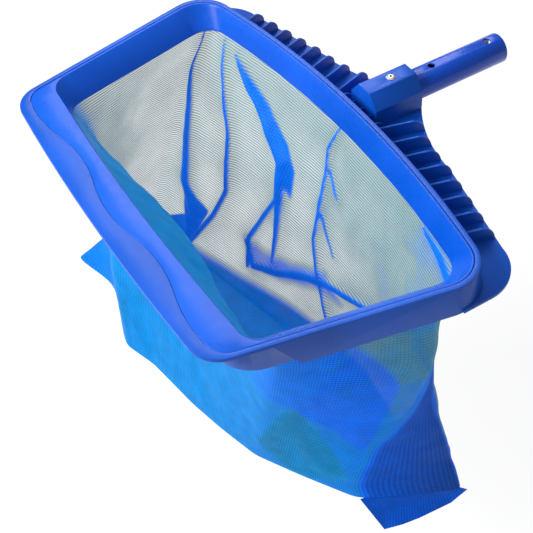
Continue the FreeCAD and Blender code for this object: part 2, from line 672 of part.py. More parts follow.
def between_seams(name, mouth, foot):
    """Part of the net between two seams, which run from the mouth's corners to the foot's."""
    middle = ("0 - mouth_middle", "0")
    top = polygon(name + "_top", [middle, *mouth])
    top.setExpression("Placement.Base.z", formula(HEM_FOOT))
    low = swing(polygon(name + "_low", [("0", "0"), *foot]), BAG_FOOT + " + net")
    return common(name, net_skin, loft(name + "_room", top, low))


net_skin = cut("net_skin", net_surface("net_outside", "0"), net_surface("net_inside", "net"))
MOUTH_FRONT = "0 - mouth_middle - mouth_front_reach"
MOUTH_BACK = "0 - mouth_middle + mouth_back_reach"
mouth_corners = [(MOUTH_BACK, "mouth_back_spread"), (MOUTH_FRONT, "mouth_front_spread"),
                 (MOUTH_FRONT, "0 - mouth_front_spread"), (MOUTH_BACK, "0 - mouth_back_spread")]
foot_corners = [("bag_width", "bag_length"), ("0 - bag_width", "bag_length"),
                ("0 - bag_width", "0 - bag_length"), ("bag_width", "0 - bag_length")]
panels = []
for i, side_name in enumerate(("left_side_panel", "front_panel", "right_side_panel", "back_panel")):
    pair = (i, (i + 1) % 4)
    panels.append(between_seams(side_name, [mouth_corners[k] for k in pair],
                                [foot_corners[k] for k in pair]))
bottom_panel = plate("bottom_panel", bag_foot("bottom_edge", BAG_FOOT, "0"), "net")

# ---------------------------------------------------------------- spigot tube


def plane_of(body, role):
    """A body's own origin plane."""
    return next(f for f in body.Origin.OriginFeatures if f.Role == role)


def sketch_on(body, role, name):
    """Empty sketch on one of a body's origin planes."""
    sketch = body.newObject("Sketcher::SketchObject", name)
    sketch.AttachmentSupport = [(plane_of(body, role), "")]
    sketch.MapMode = "FlatFace"
    return sketch


def circle(sketch, radius, along=None):
    """Circle bound to the sheet, at the sketch's origin or out along its X axis."""
    place = -amount(along) if along else 0
    spot = sketch.addGeometry(Part.Circle(FreeCAD.Vector(place, 0, 0), FreeCAD.Vector(0, 0, 1),
                                          amount(radius)), False)
    index = sketch.addConstraint(Sketcher.Constraint("Radius", spot, amount(radius)))
    sketch.setExpression("Constraints[%d]" % index, formula(radius))
    if along:
        sketch.addConstraint(Sketcher.Constraint("PointOnObject", spot, 3, -1))
        index = sketch.addConstraint(Sketcher.Constraint("DistanceX", spot, 3, -1, 1, amount(along)))
        sketch.setExpression("Constraints[%d]" % index, formula(along))
    else:
        sketch.addConstraint(Sketcher.Constraint("Coincident", spot, 3, -1, 1))


tube = doc.addObject("PartDesign::Body", "spigot_tube")


def round_feature(kind, name, radius, length):
    """Round pad or pocket along the tube's axis, from the open end inwards."""
    section = sketch_on(tube, "YZ_Plane", name + "_section")
    circle(section, radius)
    made = tube.newObject("PartDesign::" + kind, name)
    made.Profile = section
    made.Reversed = kind == "Pad"
    made.setExpression("Length", "Dims." + length)
    return made


spigot = round_feature("Pad", "spigot", "tube_radius", "spigot_length")
seat_end = round_feature("Pad", "seat_end", "tube_radius - seat_step", "tube_length")
tube_bore = round_feature("Pocket", "tube_bore", "tube_radius - tube_wall", "tube_length")
holes = sketch_on(tube, "XY_Plane", "button_holes_plan")
circle(holes, "tip_hole_radius", "tip_hole")
circle(holes, "near_hole_radius", "near_hole")
button_holes = tube.newObject("PartDesign::Pocket", "button_holes")
button_holes.Profile = holes
button_holes.SideType = "Symmetric"
button_holes.Type = "Length"
button_holes.setExpression("Length", "4 * Dims.tube_radius")
rivet_plan = sketch_on(tube, "XY_Plane", "rivet_hole_plan")
circle(rivet_plan, "rivet_shank", "rivet_place")
rivet_hole = tube.newObject("PartDesign::Pocket", "rivet_hole")
rivet_hole.Profile = rivet_plan
rivet_hole.Reversed = True
rivet_hole.setExpression("Length", "2 * Dims.tube_radius")
doc.recompute()
bored = tube_bore.Shape.Volume
drilled = rivet_hole.Shape.Volume


# ---------------------------------------------------------------- blind rivet


def turned(name, points, place):
    """Body turned about a vertical axis at a place behind the origin.

    points are pairs of sums of sheet names: radius and height, anticlockwise.
    """
    body = doc.addObject("PartDesign::Body", name)
    sketch = sketch_on(body, "XZ_Plane", name + "_section")
    spots = [FreeCAD.Vector(amount(u), amount(v), 0) for u, v in points]
    for start, end in zip(spots, spots[1:] + spots[:1]):
        sketch.addGeometry(Part.LineSegment(start, end), False)
    count = len(points)
    for i in range(count):
        sketch.addConstraint(Sketcher.Constraint("Coincident", i, 2, (i + 1) % count, 1))
    for i, pair in enumerate(points):
        for kind, words in zip(("DistanceX", "DistanceY"), pair):
            index = sketch.addConstraint(Sketcher.Constraint(kind, -1, 1, i, 1, amount(words)))
            sketch.setExpression("Constraints[%d]" % index, formula(words))
    spin = body.newObject("PartDesign::Revolution", name + "_turn")
    spin.Profile = sketch
    spin.ReferenceAxis = (sketch, ["V_Axis"])
    spin.Angle = 360
    body.setExpression("Placement.Base.x", "-" + formula(place))
    return body


INNER_WALL = "tube_radius - tube_wall"
TAIL_FOOT = INNER_WALL + " - rivet_tail_height"
HEAD_TOP = "block_top + rivet_head_height"
rivet = turned("rivet_body", [
    ("rivet_bore", TAIL_FOOT),
    ("rivet_tail", TAIL_FOOT + " + rivet_head_edge"),
    ("rivet_tail", INNER_WALL + " - rivet_head_edge"),
    ("rivet_shank", INNER_WALL + " - socket_gap"),
    ("rivet_shank", "block_top"),
    ("rivet_head", "block_top"),
    ("rivet_head", "block_top + rivet_head_edge"),
    ("rivet_shank", HEAD_TOP),
    ("rivet_bore", HEAD_TOP)], "rivet_place")
mandrel = turned("rivet_mandrel", [
    ("0", TAIL_FOOT + " - mandrel_head_height"),
    ("mandrel_head - mandrel_taper", TAIL_FOOT + " - mandrel_head_height"),
    ("mandrel_head", TAIL_FOOT + " - mandrel_head_height + mandrel_taper"),
    ("mandrel_head", TAIL_FOOT),
    ("rivet_bore", TAIL_FOOT),
    ("rivet_bore", HEAD_TOP + " - mandrel_recess"),
    ("0", HEAD_TOP + " - mandrel_recess")], "rivet_place")
doc.recompute()

# ---------------------------------------------------------------- checks and export

NODES = [outer_frame, retaining_ring, tube, rivet, mandrel, mouth_hem, *panels, bottom_panel]
for made in doc.Objects:
    if "Invalid" in made.State or "Error" in made.State:
        raise RuntimeError("%s did not build: %s" % (made.Name, made.State))
if not drilled < bored < seat_end.Shape.Volume:
    raise RuntimeError("the spigot's bore or holes cut nothing")
for node in NODES:
    node.Label = node.Name
    if node.Shape.isNull() or not node.Shape.isValid():
        raise RuntimeError("%s has no valid shape" % node.Label)
    if len(node.Shape.Solids) != 1:
        raise RuntimeError("%s is %d solids" % (node.Label, len(node.Shape.Solids)))
    node.Shape.exportStep("parts/%s.step" % node.Label)
    print("%-18s %9.1f mm3" % (node.Label, node.Shape.Volume))
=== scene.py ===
import math

import bmesh
import bpy
import numpy as np
from mathutils import Matrix, Quaternion, Vector, noise


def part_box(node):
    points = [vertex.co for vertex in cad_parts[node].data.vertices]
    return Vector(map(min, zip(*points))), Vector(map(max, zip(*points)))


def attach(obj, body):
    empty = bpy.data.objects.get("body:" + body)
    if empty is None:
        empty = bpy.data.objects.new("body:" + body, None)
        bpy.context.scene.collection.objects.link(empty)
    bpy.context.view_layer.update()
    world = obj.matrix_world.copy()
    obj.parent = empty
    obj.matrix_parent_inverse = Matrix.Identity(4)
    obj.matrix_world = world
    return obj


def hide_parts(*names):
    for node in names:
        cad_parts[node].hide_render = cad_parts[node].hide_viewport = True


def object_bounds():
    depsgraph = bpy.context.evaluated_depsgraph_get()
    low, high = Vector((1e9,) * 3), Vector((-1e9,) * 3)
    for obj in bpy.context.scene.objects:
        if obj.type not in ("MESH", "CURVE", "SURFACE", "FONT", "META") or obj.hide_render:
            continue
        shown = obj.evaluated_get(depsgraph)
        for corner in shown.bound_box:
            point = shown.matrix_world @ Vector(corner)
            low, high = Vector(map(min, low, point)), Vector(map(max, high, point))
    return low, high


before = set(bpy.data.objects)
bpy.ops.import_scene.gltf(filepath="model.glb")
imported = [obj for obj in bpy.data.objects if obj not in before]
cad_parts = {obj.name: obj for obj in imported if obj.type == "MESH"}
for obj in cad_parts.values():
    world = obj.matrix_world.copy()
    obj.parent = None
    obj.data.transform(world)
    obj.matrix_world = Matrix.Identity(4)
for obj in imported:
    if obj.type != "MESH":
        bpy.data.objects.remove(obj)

bl_info = {
    "name": "Leaf skimmer net",
    "version": (1, 0, 0),
    "blender": (4, 5, 0),
    "location": "3D View > Sidebar > Skimmer",
    "description": "Builds the looks of a pool leaf skimmer net round its packed parts",
    "category": "Object",
}

CAD_LOW, CAD_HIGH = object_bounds()
HEM_LOW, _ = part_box("mouth_hem")
BODY = "root"


# ---------------------------------------------------------------- settings


class SkimmerPlasticSettings(bpy.types.PropertyGroup):
    """Colours and edges of the hard pieces."""

    frame_colour: bpy.props.FloatVectorProperty(
        name="Frame colour", description="Moulded blue of the scoop frame", subtype="COLOR",
        size=3, min=0, max=1, default=(0.001, 0.073, 0.46))
    ring_colour: bpy.props.FloatVectorProperty(
        name="Ring colour", description="Moulded blue of the retaining ring", subtype="COLOR",
        size=3, min=0, max=1, default=(0.001, 0.080, 0.52))
    spigot_colour: bpy.props.FloatVectorProperty(
        name="Spigot colour", description="Blue coating of the spigot tube", subtype="COLOR",
        size=3, min=0, max=1, default=(0.001, 0.055, 0.44))
    edge_round: bpy.props.FloatProperty(
        name="Edge rounding", description="Width of the rounding on moulded edges",
        subtype="DISTANCE", unit="LENGTH", default=0.0011)


class SkimmerNetSettings(bpy.types.PropertyGroup):
    """Threads and colours of the mesh bag."""

    thread_pitch: bpy.props.FloatProperty(
        name="Thread pitch", description="Distance from one drawn thread to the next",
        subtype="DISTANCE", unit="LENGTH", default=0.0026)
    pale_thread: bpy.props.FloatVectorProperty(
        name="Single thread", description="Colour of threads where one thin layer is seen",
        subtype="COLOR", size=3, min=0, max=1, default=(0.0, 0.11, 0.13))
    deep_thread: bpy.props.FloatVectorProperty(
        name="Gathered thread", description="Colour of threads bunched in a fold",
        subtype="COLOR", size=3, min=0, max=1, default=(0.0, 0.085, 0.60))
    # Painted shade: dark colour for the turned facet and the folded end, also standing for a second
    # layer.
    shaded_thread: bpy.props.FloatVectorProperty(
        name="Shaded thread", description="Colour of the cloth painted as if layers lay behind it",
        subtype="COLOR", size=3, min=0, max=1, default=(0.0, 0.03, 0.18))
    cyan_thread: bpy.props.FloatVectorProperty(
        name="Close thread", description="Colour of the closely knitted front",
        subtype="COLOR", size=3, min=0, max=1, default=(0.0, 0.155, 0.40))
    wall_columns: bpy.props.IntProperty(
        name="Columns", description="Cells round the bag", default=520, min=60)
    wall_rows: bpy.props.IntProperty(
        name="Rows", description="Cells down the bag", default=130, min=20)


class SkimmerStageSettings(bpy.types.PropertyGroup):
    """Camera, floor and lights."""

    camera_place: bpy.props.FloatVectorProperty(
        name="Camera place", description="Where the camera stands", subtype="XYZ",
        unit="LENGTH", size=3, default=(-0.5749, -0.6010, 0.6124))
    camera_look: bpy.props.FloatVectorProperty(
        name="Camera direction", description="The way the camera looks", subtype="XYZ",
        size=3, default=(0.3061, 0.5919, -0.7456))
    camera_roll: bpy.props.FloatProperty(
        name="Camera roll", description="Turn of the camera about its own axis",
        subtype="ANGLE", unit="ROTATION", default=math.radians(4.93))
    camera_lens: bpy.props.FloatProperty(
        name="Focal length", description="Lens in millimetres on a 36 mm wide sensor",
        default=70.8)
    floor_drop: bpy.props.FloatProperty(
        name="Floor", description="How far the floor is below the bag", subtype="DISTANCE",
        unit="LENGTH", default=0.30)


# ---------------------------------------------------------------- materials

HEM_COLOUR = (0.02, 0.10, 0.45)
RIVET_COLOUR = (0.62, 0.62, 0.61)
# Painted shade: the steel mandrel is coloured near black for the shade inside the rivet's hollow.
MANDREL_HOLE_SHADE = (0.012, 0.012, 0.014)
# Strength of the net's painted glow, which stands for light coming through the thin cloth.
NET_GLOW = 0.6


def new_material(name):
    """Empty node material with its shader and output."""
    made = bpy.data.materials.new(name)
    made.use_nodes = True
    tree = made.node_tree
    tree.nodes.clear()
    out = tree.nodes.new("ShaderNodeOutputMaterial")
    shader = tree.nodes.new("ShaderNodeBsdfPrincipled")
    tree.links.new(shader.outputs["BSDF"], out.inputs["Surface"])
    return made, tree, shader


def node(tree, kind, links=(), **settings):
    """Adds a node; links holds (input, socket or value) pairs."""
    made = tree.nodes.new(kind)
    for key, value in settings.items():
        setattr(made, key, value)
    for key, source in links:
        if isinstance(source, bpy.types.NodeSocket):
            tree.links.new(source, made.inputs[key])
        else:
            made.inputs[key].default_value = source
    return made


def maths(tree, operation, *values):
    """Output of one Math node."""
    return node(tree, "ShaderNodeMath", list(enumerate(values)), operation=operation).outputs[0]


def stretch(tree, value, low, high, to_low=0.0, to_high=1.0):
    """Output of a Map Range node."""
    return node(tree, "ShaderNodeMapRange",
                [("Value", value), ("From Min", low), ("From Max", high),
                 ("To Min", to_low), ("To Max", to_high)]).outputs[0]


def noise_at(tree, place, scale, detail=3.0):
    """Noise of a size, on the given coordinates."""
    return node(tree, "ShaderNodeTexNoise",
                [("Vector", place), ("Scale", scale), ("Detail", detail)]).outputs["Fac"]


def blend_colour(tree, factor, first, second):
    """Mix of two colours; each is a colour or a socket."""
    made = node(tree, "ShaderNodeMix", data_type="RGBA")
    for key, value in ((0, factor), (6, first), (7, second)):
        if isinstance(value, bpy.types.NodeSocket):
            tree.links.new(value, made.inputs[key])
        else:
            made.inputs[key].default_value = value if key == 0 else (*value, 1)
    return made.outputs[2]


def moulded_plastic(name, colour, roughness=0.34, grain=0.00004):
    """Satin moulded plastic: faint flow marks, a fine grain and small scuffs."""
    made, tree, shader = new_material(name)
    place = node(tree, "ShaderNodeTexCoord").outputs["Object"]
    flow = noise_at(tree, place, 9.0, 2.0)
    fine = noise_at(tree, place, 1400.0, 2.0)
    scuff = noise_at(tree, place, 160.0, 6.0)
    darker = tuple(c * 0.86 for c in colour)
    lighter = tuple(min(1.0, c * 1.1 + 0.004) for c in colour)
    base = blend_colour(tree, stretch(tree, flow, 0.35, 0.65), darker, lighter)
    worn = stretch(tree, scuff, 0.66, 0.78, 0.0, 0.25)
    pale = tuple(min(1.0, c * 1.3 + 0.03) for c in colour)
    tree.links.new(blend_colour(tree, worn, base, pale), shader.inputs["Base Color"])
    rough = maths(tree, "ADD", stretch(tree, scuff, 0.3, 0.7, roughness - 0.05, roughness + 0.07),
                  stretch(tree, flow, 0.3, 0.7, -0.03, 0.03))
    tree.links.new(rough, shader.inputs["Roughness"])
    bump = node(tree, "ShaderNodeBump", [("Height", fine), ("Strength", 0.35), ("Distance", grain)])
    tree.links.new(bump.outputs["Normal"], shader.inputs["Normal"])
    shader.inputs["Specular IOR Level"].default_value = 0.22
    return made


def coated_tube(name, colour):
    """Smooth blue coating with faint lengthwise lines from the tube's drawing."""
    made, tree, shader = new_material(name)
    place = node(tree, "ShaderNodeTexCoord").outputs["Object"]
    along = node(tree, "ShaderNodeMapping", [("Vector", place), ("Scale", (6.0, 500.0, 500.0))])
    lines = noise_at(tree, along.outputs[0], 1.0, 2.0)
    scuff = noise_at(tree, place, 220.0, 5.0)
    pale = tuple(min(1.0, c * 1.25 + 0.02) for c in colour)
    worn = stretch(tree, scuff, 0.62, 0.75, 0.0, 0.3)
    tree.links.new(blend_colour(tree, worn, colour, pale), shader.inputs["Base Color"])
    tree.links.new(stretch(tree, scuff, 0.3, 0.7, 0.2, 0.32), shader.inputs["Roughness"])
    bump = node(tree, "ShaderNodeBump", [("Height", lines), ("Strength", 0.2), ("Distance", 0.00003)])
    tree.links.new(bump.outputs["Normal"], shader.inputs["Normal"])
    shader.inputs["Specular IOR Level"].default_value = 0.3
    shader.inputs["Coat Weight"].default_value = 0.1
    shader.inputs["Coat Roughness"].default_value = 0.12
    return made


def plain_metal(name, colour, roughness):
    """Bare metal with fine turning marks."""
    made, tree, shader = new_material(name)
    place = node(tree, "ShaderNodeTexCoord").outputs["Object"]
    marks = noise_at(tree, place, 2500.0, 2.0)
    darker = tuple(c * 0.7 for c in colour)
    tree.links.new(blend_colour(tree, marks, darker, colour), shader.inputs["Base Color"])
    tree.links.new(stretch(tree, marks, 0.3, 0.7, roughness - 0.08, roughness + 0.1),
                   shader.inputs["Roughness"])
    shader.inputs["Metallic"].default_value = 1.0
    return made


def thread_line(tree, across, width):
    """1 on a thread and 0 between threads; across counts threads, width is a thread's share."""
    phase = maths(tree, "ABSOLUTE", maths(tree, "SUBTRACT", maths(tree, "FRACT", across), 0.5))
    edge = maths(tree, "MULTIPLY", width, 0.5)
    inner = maths(tree, "SUBTRACT", edge, 0.06)
    outer = maths(tree, "ADD", edge, 0.06)
    made = node(tree, "ShaderNodeMapRange",
                [("Value", phase), ("From Min", outer), ("From Max", inner)])
    made.clamp = True
    return made.outputs[0]


def knitted_net(name, settings):
    """Fine blue net: two sets of threads on the cloth's own map, closer where it is bunched.

    The cover attribute is how far threads close up. Tint goes from the painted shade colour at -1
    through deep blue at 0 to cyan at 1. A painted self-glow stands for light that comes through thin
    cloth.
    """
    made, tree, shader = new_material(name)
    uv = node(tree, "ShaderNodeUVMap", uv_map="cloth")
    cover = node(tree, "ShaderNodeAttribute", attribute_name="cover").outputs["Fac"]
    tint = node(tree, "ShaderNodeAttribute", attribute_name="tint").outputs["Fac"]
    wobble = noise_at(tree, uv.outputs[0], 60.0, 2.0)
    split = node(tree, "ShaderNodeSeparateXYZ", [("Vector", uv.outputs[0])])
    count = 1.0 / settings.thread_pitch
    rows = maths(tree, "MULTIPLY", split.outputs["Y"], count)
    rows = maths(tree, "ADD", rows, maths(tree, "MULTIPLY", wobble, 0.9))
    columns = maths(tree, "MULTIPLY", split.outputs["X"], count)
    weft = thread_line(tree, rows, stretch(tree, cover, 0.0, 1.0, 0.34, 0.95))
    warp = thread_line(tree, columns, stretch(tree, cover, 0.0, 1.0, 0.12, 0.9))
    threads = maths(tree, "MAXIMUM", weft, maths(tree, "MULTIPLY", warp, 0.4))
    haze = stretch(tree, cover, 0.1, 0.95, 0.20, 0.98)
    alpha = maths(tree, "MAXIMUM", threads, haze)
    alpha = maths(tree, "MINIMUM", alpha, stretch(tree, cover, 0.1, 0.8, 0.66, 1.0))
    tree.links.new(alpha, shader.inputs["Alpha"])
    rich = blend_colour(tree, stretch(tree, tint, 0.0, 1.0), tuple(settings.deep_thread),
                        tuple(settings.cyan_thread))
    # Below zero the colour goes over to the painted shade colour.
    rich = blend_colour(tree, stretch(tree, tint, -1.0, 0.0, 1.0, 0.0), rich,
                        tuple(settings.shaded_thread))
    colour = blend_colour(tree, stretch(tree, cover, 0.48, 0.72), tuple(settings.pale_thread), rich)
    shade = stretch(tree, wobble, 0.3, 0.7, 0.88, 1.08)
    lines = maths(tree, "ADD", thread_line(tree, rows, 0.5), thread_line(tree, columns, 0.5))
    relief = maths(tree, "MULTIPLY", shade, stretch(tree, lines, 0.0, 2.0, 0.66, 1.22))
    toned = node(tree, "ShaderNodeVectorMath", [(0, colour), ("Scale", relief)], operation="SCALE")
    tree.links.new(toned.outputs[0], shader.inputs["Base Color"])
    # Painted glow: the cloth's own colour is also emitted, for light coming through it.
    tree.links.new(toned.outputs[0], shader.inputs["Emission Color"])
    shader.inputs["Emission Strength"].default_value = NET_GLOW
    bump = node(tree, "ShaderNodeBump", [("Height", lines), ("Strength", 0.5), ("Distance", 0.0002)])
    tree.links.new(bump.outputs["Normal"], shader.inputs["Normal"])
    tree.links.new(stretch(tree, threads, 0.0, 1.0, 0.75, 0.5), shader.inputs["Roughness"])
    shader.inputs["Specular IOR Level"].default_value = 0.08
    return made


def webbing(name, colour):
    """Narrow woven tape: diagonal bands of darker and lighter weave with a matching bump."""
    made, tree, shader = new_material(name)
    place = node(tree, "ShaderNodeTexCoord").outputs["Object"]
    weave = node(tree, "ShaderNodeTexWave", [("Vector", place), ("Scale", 260.0), ("Distortion", 1.5)],
                 bands_direction="DIAGONAL")
    darker = tuple(c * 0.6 for c in colour)
    tree.links.new(blend_colour(tree, weave.outputs["Fac"], darker, colour), shader.inputs["Base Color"])
    bump = node(tree, "ShaderNodeBump",
                [("Height", weave.outputs["Fac"]), ("Strength", 0.6), ("Distance", 0.0003)])
    tree.links.new(bump.outputs["Normal"], shader.inputs["Normal"])
    shader.inputs["Roughness"].default_value = 0.8
    return made


# ---------------------------------------------------------------- hard pieces

# Distance in metres under which two points are one.
JOIN = 1e-6
HEM_ROUND = 0.0004


def link(name, mesh_maker, material):
    """Object from a bmesh, linked, shaded smooth and given its material."""
    mesh = bpy.data.meshes.new(name)
    mesh_maker.to_mesh(mesh)
    mesh_maker.free()
    made = bpy.data.objects.new(name, mesh)
    bpy.context.scene.collection.objects.link(made)
    mesh.shade_smooth()
    mesh.materials.append(material)
    return made


def rounded_copy(name, source, material, width, sharp=28.0):
    """Copy of a CAD node with its facets merged and its edges rounded; it stands for the node."""
    bm = bmesh.new()
    bm.from_mesh(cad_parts[source].data)
    bmesh.ops.remove_doubles(bm, verts=bm.verts, dist=JOIN)
    bmesh.ops.dissolve_limit(bm, angle_limit=math.radians(0.6), use_dissolve_boundaries=False,
                             verts=bm.verts, edges=bm.edges, delimit=set())
    limit = math.radians(sharp)
    edges = [e for e in bm.edges if len(e.link_faces) == 2 and e.calc_face_angle(0.0) > limit]
    bmesh.ops.bevel(bm, geom=edges, offset=width, offset_type="OFFSET", segments=2,
                    profile=0.5, affect="EDGES", clamp_overlap=True, material=-1,
                    loop_slide=True)
    bmesh.ops.remove_doubles(bm, verts=bm.verts, dist=JOIN)
    bmesh.ops.triangulate(bm, faces=[f for f in bm.faces if len(f.verts) > 4])
    made = link(name, bm, material)
    made.data.set_sharp_from_angle(angle=math.radians(38))
    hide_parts(source)
    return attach(made, BODY)


class SKIMMER_OT_plastic(bpy.types.Operator):
    """Moulded frame and retaining ring"""

    bl_idname = "skimmer.plastic"
    bl_label = "Frame and ring"

    def execute(self, context):
        look = context.scene.skimmer_plastic
        frame_blue = moulded_plastic("frame_blue", tuple(look.frame_colour))
        ring_blue = moulded_plastic("ring_blue", tuple(look.ring_colour), roughness=0.3)
        rounded_copy("scoop_frame", "outer_frame", frame_blue, look.edge_round)
        rounded_copy("bag_ring", "retaining_ring", ring_blue, look.edge_round)
        return {"FINISHED"}


class SKIMMER_OT_spigot(bpy.types.Operator):
    """Spigot tube and its blind rivet"""

    bl_idname = "skimmer.spigot"
    bl_label = "Spigot and rivet"

    def execute(self, context):
        look = context.scene.skimmer_plastic
        coat = coated_tube("spigot_blue", tuple(look.spigot_colour))
        rounded_copy("pole_spigot_tube", "spigot_tube", coat, look.edge_round / 2,
                     sharp=40.0)
        pale = plain_metal("rivet_bright", RIVET_COLOUR, 0.38)
        # The mandrel's near-black colour is painted shade of the rivet's hollow.
        dark = plain_metal("mandrel_dark", MANDREL_HOLE_SHADE, 0.6)
        for name, material in (("rivet_body", pale), ("rivet_mandrel", dark)):
            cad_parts[name].data.materials.clear()
            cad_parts[name].data.materials.append(material)
        return {"FINISHED"}


# ---------------------------------------------------------------- net bag

# Height of the cloth's upper edge, where the hem ends.
MOUTH_Z = HEM_LOW.z

# Length and width of each cloth piece laid flat, in metres.
FOOT_FLAT = (0.46, 0.12)
END_FLAT = (0.105, 0.024)

# Outlines wholly past this share count round from 0 to 1, the others from -0.5 to 0.5.
COUNTS_ON = 0.3
# In metres: how far the closer threads reach beside a fold, the widths of the foot's seam and of
# the sewn edge at the hem, and the height of the crumple.
FOLD_SKIRT = 0.008
SEAM_WIDTH = 0.003
SEWN_WIDTH = 0.0028
CRUMPLE = 0.0020
# Most that the foot sags, and the folded end's hollow.
FOOT_SAG = 0.010
END_HOLLOW = 0.004

# Lines down the hanging cloth, in order round the bag. Each has its points from the hem to the
# foot, then how close its threads are at the hem and at the foot, then how cyan they look there.
RAILS = (
    ("back_left", ((-0.196, 0.205, MOUTH_Z), (-0.222, 0.212, -0.05), (-0.292, 0.222, -0.262)),
     (0.22, 0.28), (0.30, 0.40)),
    ("left_side", ((-0.260, 0.196, MOUTH_Z), (-0.282, 0.204, -0.06), (-0.338, 0.214, -0.257)),
     (0.30, 0.28), (0.40, 0.40)),
    ("ear", ((-0.350, 0.178, MOUTH_Z), (-0.350, 0.172, -0.06), (-0.352, 0.188, -0.17),
             (-0.357, 0.206, -0.230), (-0.392, 0.217, -0.250)), (0.40, 0.98), (0.80, 0.30)),
    ("ear_notch", ((-0.370, 0.172, MOUTH_Z), (-0.352, 0.160, -0.06), (-0.374, 0.150, -0.246)),
     (0.80, 0.92), (0.9, 0.60)),
    ("front_left", ((-0.377, 0.150, MOUTH_Z), (-0.350, 0.140, -0.06), (-0.388, 0.105, -0.18),
                    (-0.400, 0.072, -0.248)), (0.90, 0.94), (1.0, 0.85)),
    ("front_middle_left", ((-0.380, 0.085, MOUTH_Z), (-0.340, 0.070, -0.06), (-0.387, 0.030, -0.246)),
     (0.92, 0.94), (1.0, 0.90)),
    ("front_middle", ((-0.382, 0.0, MOUTH_Z), (-0.336, -0.010, -0.06), (-0.377, -0.035, -0.245)),
     (0.92, 0.93), (1.0, 0.90)),
    ("front_middle_right", ((-0.380, -0.085, MOUTH_Z), (-0.347, -0.085, -0.06),
                            (-0.368, -0.078, -0.242)), (0.92, 0.86), (1.0, 0.85)),
    ("front_right", ((-0.376, -0.166, MOUTH_Z), (-0.352, -0.162, -0.06), (-0.356, -0.122, -0.240)),
     (0.84, 0.72), (0.9, 0.80)),
    ("side_middle", ((-0.300, -0.188, MOUTH_Z), (-0.316, -0.186, -0.08), (-0.332, -0.163, -0.240)),
     (0.64, 0.74), (0.62, 0.70)),
    ("ridge", ((-0.230, -0.201, MOUTH_Z), (-0.236, -0.222, -0.07), (-0.262, -0.219, -0.12),
               (-0.281, -0.206, -0.178), (-0.299, -0.203, -0.235), (-0.296, -0.208, -0.252)),
     (0.62, 0.86), (0.60, 0.65)),
    ("back_right", ((-0.196, -0.205, MOUTH_Z), (-0.214, -0.200, -0.05), (-0.234, -0.220, -0.075),
                    (-0.227, -0.222, -0.12), (-0.222, -0.231, -0.165), (-0.209, -0.240, -0.225),
                    (-0.205, -0.2505, -0.258)), (0.46, 0.76), (0.40, 0.10)),
    ("back_quarter_right", ((-0.1795, -0.105, MOUTH_Z), (-0.205, -0.108, -0.10),
                            (-0.233, -0.115, -0.255)), (0.40, 0.42), (0.30, 0.30)),
    ("back_middle", ((-0.174, 0.0, MOUTH_Z), (-0.200, 0.0, -0.10), (-0.245, 0.008, -0.262)),
     (0.28, 0.32), (0.30, 0.30)),
    ("back_quarter_left", ((-0.1795, 0.105, MOUTH_Z), (-0.208, 0.108, -0.10),
                           (-0.268, 0.116, -0.264)), (0.24, 0.28), (0.30, 0.30)),
)

# Folds that stand into the bag: points as share round the bag (back left corner at 0, negative
# along the back) and share down it, the width at each end and the height in metres, and the tint.
FOLDS = (
    (((0.004, 0.02), (-0.003, 0.12), (-0.006, 0.22), (-0.012, 0.36), (-0.022, 0.54),
      (-0.030, 0.68), (-0.050, 0.80)), 0.0014, 0.0070, 0.006, 0.22),
    (((-0.024, 0.58), (-0.040, 0.78), (-0.054, 0.97)), 0.003, 0.005, 0.004, 0.22),
    (((-0.029, 0.04), (-0.048, 0.19), (-0.069, 0.38), (-0.085, 0.60), (-0.078, 0.74),
      (-0.058, 0.94)), 0.0014, 0.0042, 0.006, 0.22),
    (((-0.050, 0.06), (-0.083, 0.15), (-0.110, 0.22), (-0.142, 0.33), (-0.152, 0.47)),
     0.0015, 0.0090, 0.009, 0.25),
    (((-0.146, 0.36), (-0.158, 0.55), (-0.168, 0.74)), 0.0060, 0.0030, 0.006, 0.25),
    (((-0.151, 0.46), (-0.139, 0.60), (-0.130, 0.72), (-0.140, 0.84)), 0.0030, 0.0034, 0.005, 0.30),
    (((-0.202, 0.03), (-0.196, 0.13), (-0.203, 0.29), (-0.209, 0.50), (-0.223, 0.61),
      (-0.256, 0.78)), 0.0016, 0.0030, 0.005, 0.35),
    (((-0.200, 0.20), (-0.224, 0.28)), 0.0018, 0.0014, 0.002, 0.35),
    (((-0.208, 0.38), (-0.238, 0.51)), 0.0020, 0.0016, 0.002, 0.35),
    (((-0.128, 0.74), (-0.146, 0.82), (-0.178, 0.77), (-0.205, 0.70), (-0.240, 0.63),
      (-0.305, 0.54)), 0.0036, 0.0040, 0.005, 0.30),
    (((-0.345, 0.04), (-0.378, 0.05), (-0.406, 0.08)), 0.0015, 0.0050, 0.004, 0.30),
    (((-0.421, 0.24), (-0.445, 0.48), (-0.463, 0.68), (-0.468, 0.86), (-0.464, 1.02)),
     0.0040, 0.0085, 0.0, 0.62),
)
